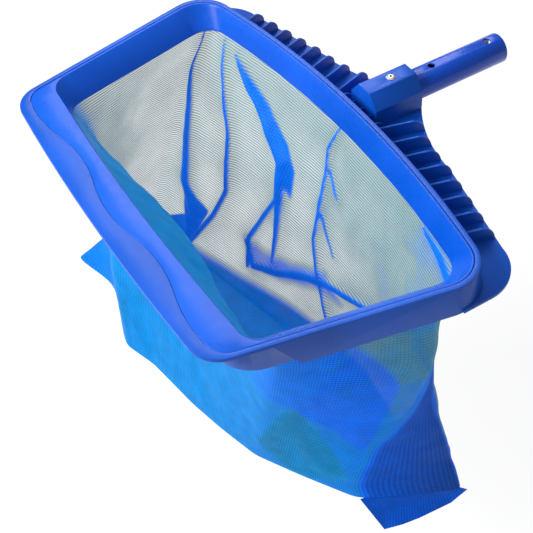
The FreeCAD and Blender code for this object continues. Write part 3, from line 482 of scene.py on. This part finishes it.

# Places painted darker, paler or denser, as if layers lay behind them; the cloth is single there.
# The first place, the folded end's turned facet, is darkened with painted shade as well.
# Each has its outline as share round and share down, how soft its edge is in metres, the change of
# cover and the change of tint.
ZONES = (
    # Painted shade on the folded end's turned facet, with the look of a second layer behind it.
    (((0.579, 0.28), (0.555, 0.42), (0.536, 0.66), (0.532, 0.85), (0.538, 1.02), (0.586, 1.02),
      (0.582, 0.60)), 0.003, 0.30, -1.10),
    (((0.579, 0.30), (0.592, 0.32), (0.592, 0.80), (0.574, 0.52)), 0.004, -0.22, 0.45),
    (((0.486, 0.12), (0.590, 0.16), (0.579, 0.31), (0.525, 0.35)), 0.005, -0.10, 0.40),
    (((0.454, 0.52), (0.488, 0.16), (0.525, 0.35), (0.534, 0.76)), 0.004, 0.08, -0.50),
    (((0.406, 0.48), (0.430, 0.00), (0.488, 0.14), (0.454, 0.52)), 0.004, 0.14, -0.40),
    (((0.427, 0.87), (0.444, 0.57), (0.455, 0.53), (0.529, 0.91), (0.475, 1.02)), 0.006, -0.10, 0.40),
    (((0.185, 0.68), (0.204, 0.74), (0.190, 1.00), (0.177, 1.00)), 0.008, -0.22, 0.0),
    (((-0.017, 0.90), (-0.069, 0.75), (-0.062, 0.90), (-0.054, 0.96), (-0.030, 0.99)),
     0.002, 0.75, 0.0),
    (((-0.05, 0.96), (-0.13, 0.92), (-0.19, 0.88), (-0.26, 0.84), (-0.31, 0.84),
      (-0.36, 1.00), (-0.36, 1.05), (-0.05, 1.05)), 0.014, 0.62, 0.35),
    (((-0.056, 0.07), (-0.106, 0.165), (-0.142, 0.25), (-0.159, 0.33), (-0.163, 0.44),
      (-0.155, 0.41), (-0.145, 0.34), (-0.130, 0.27), (-0.100, 0.19)), 0.004, 0.80, 0.0),
    (((-0.124, 0.73), (-0.136, 0.83), (-0.187, 0.79), (-0.238, 0.67), (-0.262, 0.66),
      (-0.233, 0.60), (-0.188, 0.69), (-0.150, 0.73)), 0.012, 0.40, -0.10),
    (((-0.022, 0.52), (-0.033, 0.68), (-0.050, 0.73), (-0.067, 0.75), (-0.056, 0.95),
      (-0.036, 0.79), (-0.025, 0.62)), 0.004, 0.80, -0.05),
    (((-0.055, 0.02), (-0.30, 0.02), (-0.42, 0.02), (-0.42, 0.50), (-0.30, 0.50), (-0.19, 0.30)),
     0.030, 0.07, 0.0),
)

# Lower edge of the folded end, from the ridge to the bag's far lower corner.
END_EDGE = ((-0.296, -0.208, -0.252), (-0.287, -0.235, -0.276), (-0.270, -0.240, -0.276),
            (-0.253, -0.243, -0.276), (-0.220, -0.247, -0.274), (-0.205, -0.2505, -0.258))


def along(points, rows):
    """Points at equal shares of a broken line's length, with its corners eased."""
    points = np.array(points)
    steps = np.concatenate([[0.0], np.cumsum(np.linalg.norm(np.diff(points, axis=0), axis=1))])
    shares = np.linspace(0.0, 1.0, rows + 1) * steps[-1]
    line = np.stack([np.interp(shares, steps, points[:, k]) for k in range(3)], axis=1)
    return ease(line, rows // 8, False)


def ease(values, passes, closed):
    """Smooths along the first axis; an open line keeps its two ends."""
    for _ in range(passes):
        before = np.roll(values, 1, axis=0)
        after = np.roll(values, -1, axis=0)
        eased = values * 0.5 + (before + after) * 0.25
        if not closed:
            eased[0] = values[0]
            eased[-1] = values[-1]
        values = eased
    return values


def round_bag(columns, rows):
    """Places, thread cover and tint over the bag's wall, as arrays of columns by rows.

    Also gives each line's column, so that the other cloth pieces can find the wall's edges.
    """
    lines = np.stack([along(points, rows) for _, points, _, _ in RAILS])
    looped = np.concatenate([lines, lines[:1]])
    gaps = np.linalg.norm(np.diff(looped, axis=0), axis=2).mean(axis=1)
    turns = np.concatenate([[0.0], np.cumsum(gaps)]) / gaps.sum()
    share = np.linspace(0.0, 1.0, columns + 1)[:-1]
    down = np.linspace(0.0, 1.0, rows + 1)

    def spread(per_line):
        closed = np.concatenate([per_line, per_line[:1]])
        flat = closed.reshape(len(closed), -1)
        out = np.stack([np.interp(share, turns, flat[:, k]) for k in range(flat.shape[1])], axis=1)
        return out.reshape((columns,) + per_line.shape[1:])

    places = ease(spread(lines), columns // 26, True)
    cover = np.stack([np.interp(down, (0.0, 1.0), ends) for _, _, ends, _ in RAILS])
    tint = np.stack([np.interp(down, (0.0, 1.0), ends) for _, _, _, ends in RAILS])
    cover = ease(spread(cover), columns // 20, True)
    tint = ease(spread(tint), columns // 20, True)
    columns_of = {name: int(round(turn * columns)) for (name, *_), turn in zip(RAILS, turns)}
    drop = np.linalg.norm(np.diff(places, axis=1), axis=2).sum(axis=1).mean()
    places, cover, tint = worked(places, cover, tint, gaps.sum(), drop)
    return places, cover, tint, columns_of, (gaps.sum(), drop)


def from_line(points, across, down, girth, drop):
    """Distance of every cloth point to a broken line on it, and the share along the line."""
    nearest = np.full(across.shape, 9.0)
    share = np.zeros(across.shape)
    scaled = [(u * girth, v * drop) for u, v in points]
    for k, ((ax, ay), (bx, by)) in enumerate(zip(scaled, scaled[1:])):
        dx, dy = bx - ax, by - ay
        t = np.clip(((across - ax) * dx + (down - ay) * dy) / (dx * dx + dy * dy), 0.0, 1.0)
        gap = np.hypot(across - ax - t * dx, down - ay - t * dy)
        closer = gap < nearest
        nearest = np.where(closer, gap, nearest)
        share = np.where(closer, (k + t) / (len(scaled) - 1), share)
    return nearest, share


def inside(outline, across, down, girth, drop):
    """How far every cloth point is inside a closed outline, negative outside it."""
    gap, _ = from_line((*outline, outline[0]), across, down, girth, drop)
    crossings = np.zeros(across.shape, dtype=int)
    scaled = [(u * girth, v * drop) for u, v in outline]
    for (ax, ay), (bx, by) in zip(scaled, scaled[1:] + scaled[:1]):
        if ay == by:
            continue
        spans = (down >= min(ay, by)) & (down < max(ay, by))
        meets = ax + (down - ay) / (by - ay) * (bx - ax)
        crossings += (spans & (across < meets)).astype(int)
    return np.where(crossings % 2 == 1, gap, -gap)


def loose(spot):
    """Crumple at a place: broad waves with finer ones on them."""
    place = Vector((*spot,))
    return noise.noise(place * 26.0) + 0.4 * noise.noise(place * 70.0)


def worked(places, cover, tint, girth, drop):
    """Adds the folds, the painted patches, the crumple of loose cloth and the seams' thread."""
    columns, rows = places.shape[0], places.shape[1] - 1
    turn = np.linspace(0.0, 1.0, columns + 1)[:-1, None] * np.ones((1, rows + 1))
    turn = np.where(turn > 0.5, turn - 1.0, turn)
    down = np.ones((columns, 1)) * np.linspace(0.0, 1.0, rows + 1)[None]
    ahead = np.roll(places, -1, axis=0) - np.roll(places, 1, axis=0)
    below = np.gradient(places, axis=1)
    inward = np.cross(ahead, below)
    inward /= np.linalg.norm(inward, axis=2, keepdims=True)
    for outline, soft, more, hue in ZONES:
        counts_on = min(u for u, _ in outline) > COUNTS_ON
        here = np.where((turn < 0.0) & counts_on, turn + 1.0, turn)
        depth = inside(outline, here * girth, down * drop, girth, drop)
        reach = np.clip(depth / soft + 0.5, 0.0, 1.0)
        cover = cover + more * reach
        tint = tint + hue * reach
    lift = np.zeros(turn.shape)
    for points, first, last, height, hue in FOLDS:
        gap, share = from_line(points, turn * girth, down * drop, girth, drop)
        width = (first + (last - first) * share) * (4.05 * share * (1.0 - share) + 0.05) ** 0.25
        heart = np.exp(-(gap / width) ** 4)
        cover = cover + (1.0 - cover) * heart
        tint = tint * (1.0 - heart) + hue * heart
        soft = np.exp(-(gap / (width + FOLD_SKIRT)) ** 2)
        cover = cover + (1.0 - cover) * soft * 0.16
        lift = np.maximum(lift, height * np.exp(-(gap / (width * 0.8 + 0.003)) ** 2))
    crumple = np.array([[loose(spot) for spot in column] for column in places])
    free = np.clip(down * 7.0, 0.0, 1.0) * np.clip((1.0 - down) * 12.0, 0.0, 1.0)
    places = places + inward * ((lift + CRUMPLE * crumple) * free)[..., None]
    seam = np.exp(-((1.0 - down) * drop / SEAM_WIDTH) ** 2)
    cover = cover + 0.10 * crumple * free + (1.0 - cover) * seam * 0.8
    sewn = np.exp(-(down * drop / SEWN_WIDTH) ** 4)
    cover = cover * (1.0 - sewn) + 0.95 * sewn
    tint = tint * (1.0 - sewn) + 1.0 * sewn
    return places, np.clip(cover, 0.05, 1.0), np.clip(tint, -1.0, 1.0)


def cloth_object(name, places, cover, tint, size, material, closed=False):
    """Grid of cloth through the given places, with its own map in metres and its attributes.

    A closed one meets itself round the bag. Every face is turned to look out of the bag.
    """
    columns, rows = places.shape[0] - 1, places.shape[1] - 1
    bm = bmesh.new()
    bmesh.ops.create_grid(bm, x_segments=columns, y_segments=rows, size=0.5)
    shared = bm.loops.layers.uv.new("cloth")
    covers = bm.verts.layers.float.new("cover")
    tints = bm.verts.layers.float.new("tint")
    for vert in bm.verts:
        i = int(round((vert.co.x + 0.5) * columns))
        j = int(round((vert.co.y + 0.5) * rows))
        for loop in vert.link_loops:
            loop[shared].uv = (i / columns * size[0], j / rows * size[1])
        vert[covers] = cover[i, j]
        vert[tints] = tint[i, j]
        vert.co = places[i, j]
    if closed:
        bmesh.ops.remove_doubles(bm, verts=bm.verts, dist=JOIN)
    bmesh.ops.reverse_faces(bm, faces=bm.faces)
    return link(name, bm, material)


class SKIMMER_OT_net(bpy.types.Operator):
    """Mesh bag: walls, foot and folded end"""

    bl_idname = "skimmer.net"
    bl_label = "Mesh bag"

    def execute(self, context):
        look = context.scene.skimmer_net
        knit = knitted_net("blue_knit", look)
        columns, rows = look.wall_columns, look.wall_rows
        places, cover, tint, at, spread = round_bag(columns, rows)
        loop = [np.concatenate([a, a[:1]]) for a in (places, cover, tint)]
        walls = cloth_object("net_walls", *loop, spread, knit, closed=True)
        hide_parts("front_panel", "back_panel", "left_side_panel", "right_side_panel")
        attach(walls, BODY)

        foot = foot_patch(places, at)
        bottom = cloth_object("net_bottom", *foot, FOOT_FLAT, knit)
        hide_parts("bottom_panel")
        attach(bottom, BODY)
        fold = end_fold(places, at)
        flap = cloth_object("net_end_fold", *fold, END_FLAT, knit)
        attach(flap, BODY)
        web = webbing("hem_web", HEM_COLOUR)
        hem = rounded_copy("hem_band", "mouth_hem", web, HEM_ROUND)
        return {"FINISHED"}


def end_fold(places, at):
    """Folded end of the foot: cloth that hangs below the facet's lower edge."""
    rows, columns = 16, 60
    top = np.array([places[at["ridge"], -1], places[at["back_right"], -1]])
    share = np.linspace(0.0, 1.0, columns + 1)
    top = top[0] + (top[1] - top[0]) * share[:, None]
    low = np.stack([np.interp(share, (0, 0.30, 0.45, 0.6, 0.85, 1), [spot[k] for spot in END_EDGE])
                    for k in range(3)], axis=1)
    t = np.linspace(0.0, 1.0, rows + 1)[None, :, None]
    patch = top[:, None] * (1 - t) + low[:, None] * t
    hollow = np.sin(np.pi * t[..., 0]) * np.sin(np.pi * share[:, None]) * END_HOLLOW
    patch[..., 1] += hollow
    # The fold gets the painted shade colour: dark for lying under the facet, and for the doubled cloth.
    return patch, np.full(patch.shape[:2], 0.97), np.full(patch.shape[:2], -0.60)


def foot_patch(places, at):
    """Foot of the bag: a sagging patch between the lower edges of its walls."""
    edge = places[:, -1]
    count, across = 160, 44
    front = edge[at["ear"]:at["ridge"] + 1]
    back = edge[at["back_right"]:][::-1]
    side = edge[:at["ear"] + 1]

    def resample(line, n):
        steps = np.concatenate([[0.0], np.cumsum(np.linalg.norm(np.diff(line, axis=0), axis=1))])
        where = np.linspace(0.0, steps[-1], n + 1)
        return np.stack([np.interp(where, steps, line[:, k]) for k in range(3)], axis=1)

    front = resample(front, count)
    back = resample(np.concatenate([edge[:1], back]), count)
    left = resample(side[::-1], across)
    right = resample(edge[at["ridge"]:at["back_right"] + 1], across)
    s = np.linspace(0.0, 1.0, count + 1)[:, None, None]
    t = np.linspace(0.0, 1.0, across + 1)[None, :, None]
    flat = front[:, None] * (1 - t) + back[:, None] * t
    ends = left[None] * (1 - s) + right[None] * s
    corners = ((front[0] * (1 - s) + front[-1] * s) * (1 - t)
               + (back[0] * (1 - s) + back[-1] * s) * t)
    patch = flat + ends - corners
    sag = FOOT_SAG * np.sin(np.pi * s[..., 0]) ** 0.5 * np.sin(np.pi * t[..., 0]) ** 0.7
    patch[..., 2] -= sag
    shade = np.full(patch.shape[:2], 0.92)
    return patch, shade, np.full(patch.shape[:2], 0.75)


# ---------------------------------------------------------------- stage

# Name, place from the object's middle, width in metres and power in watts of each light.
LIGHTS = (
    ("key", (-1.3, 0.35, 1.1), 0.9, 44),
    ("top", (0.1, 0.2, 1.7), 1.6, 5),
    ("back", (0.55, 1.07, 1.34), 1.0, 15),
)
FLOOR_HALF = 6.0
FLOOR_GLOW = 0.80
# Strength of the surroundings as a light, and as the camera sees them.
SKY_LIGHT = 0.28
SKY_SEEN = 0.95


def camera_turn(look, roll):
    """Rotation of a camera that looks along a direction, rolled about it."""
    upright = look.to_track_quat("-Z", "Y")
    return Quaternion(look, roll) @ upright


def area_light(name, place, aim, size, power):
    """Square soft light aimed at a point."""
    data = bpy.data.lights.new(name, "AREA")
    data.size = size
    data.energy = power
    made = bpy.data.objects.new(name, data)
    bpy.context.scene.collection.objects.link(made)
    made.location = place
    made.rotation_mode = "QUATERNION"
    made.rotation_quaternion = (Vector(aim) - Vector(place)).to_track_quat("-Z", "Y")
    return made


class SKIMMER_OT_stage(bpy.types.Operator):
    """Floor, soft lights and camera"""

    bl_idname = "skimmer.stage"
    bl_label = "Stage"

    def execute(self, context):
        stage = context.scene.skimmer_stage
        middle = (CAD_LOW + CAD_HIGH) / 2
        floor_z = CAD_LOW.z - stage.floor_drop
        bm = bmesh.new()
        bmesh.ops.create_grid(bm, x_segments=1, y_segments=1, size=FLOOR_HALF,
                              matrix=Matrix.Translation((middle.x, middle.y, floor_z)))
        made, tree, shader = new_material("floor_white")
        place = node(tree, "ShaderNodeTexCoord").outputs["Object"]
        speckle = noise_at(tree, place, 8.0)
        tree.links.new(blend_colour(tree, speckle, (0.20, 0.20, 0.20), (0.23, 0.23, 0.23)),
                       shader.inputs["Base Color"])
        shader.inputs["Roughness"].default_value = 0.95
        shader.inputs["Specular IOR Level"].default_value = 0.0
        shader.inputs["Emission Color"].default_value = (1, 1, 1, 1)
        shader.inputs["Emission Strength"].default_value = FLOOR_GLOW
        link("floor", bm, made)

        world = bpy.data.worlds.new("studio")
        world.use_nodes = True
        sky = world.node_tree.nodes["Background"]
        sky.inputs["Color"].default_value = (1, 1, 1, 1)
        seen = node(world.node_tree, "ShaderNodeLightPath").outputs["Is Camera Ray"]
        world.node_tree.links.new(stretch(world.node_tree, seen, 0.0, 1.0, SKY_LIGHT, SKY_SEEN),
                                  sky.inputs["Strength"])
        context.scene.world = world
        for name, offset, size, power in LIGHTS:
            area_light(name, middle + Vector(offset), middle, size, power)

        data = bpy.data.cameras.new("camera")
        data.sensor_width = 36.0
        data.lens = stage.camera_lens
        data.clip_start = 0.01
        camera = bpy.data.objects.new("camera", data)
        context.scene.collection.objects.link(camera)
        camera.location = stage.camera_place
        camera.rotation_mode = "QUATERNION"
        look = Vector(stage.camera_look).normalized()
        camera.rotation_quaternion = camera_turn(look, stage.camera_roll)
        context.scene.camera = camera
        context.scene.view_settings.view_transform = "Standard"
        return {"FINISHED"}


# ---------------------------------------------------------------- add-on


class SKIMMER_PT_panel(bpy.types.Panel):
    """Lists the build steps"""

    bl_label = "Leaf skimmer net"
    bl_space_type = "VIEW_3D"
    bl_region_type = "UI"
    bl_category = "Skimmer"

    def draw(self, context):
        for step in STEPS:
            self.layout.operator(step.bl_idname)
        for group in SETTINGS:
            for key in SETTINGS[group].__annotations__:
                self.layout.prop(getattr(context.scene, group), key)


SETTINGS = {"skimmer_plastic": SkimmerPlasticSettings, "skimmer_net": SkimmerNetSettings,
            "skimmer_stage": SkimmerStageSettings}
STEPS = (SKIMMER_OT_plastic, SKIMMER_OT_spigot, SKIMMER_OT_net, SKIMMER_OT_stage)


def register():
    for group, kind in SETTINGS.items():
        bpy.utils.register_class(kind)
        setattr(bpy.types.Scene, group, bpy.props.PointerProperty(type=kind))
    for kind in (*STEPS, SKIMMER_PT_panel):
        bpy.utils.register_class(kind)


def unregister():
    for kind in reversed((*STEPS, SKIMMER_PT_panel)):
        bpy.utils.unregister_class(kind)
    for group, kind in SETTINGS.items():
        delattr(bpy.types.Scene, group)
        bpy.utils.unregister_class(kind)


def main():
    register()
    for step in STEPS:
        group, name = step.bl_idname.split(".")
        getattr(getattr(bpy.ops, group), name)()


if __name__ == "__main__":
    main()
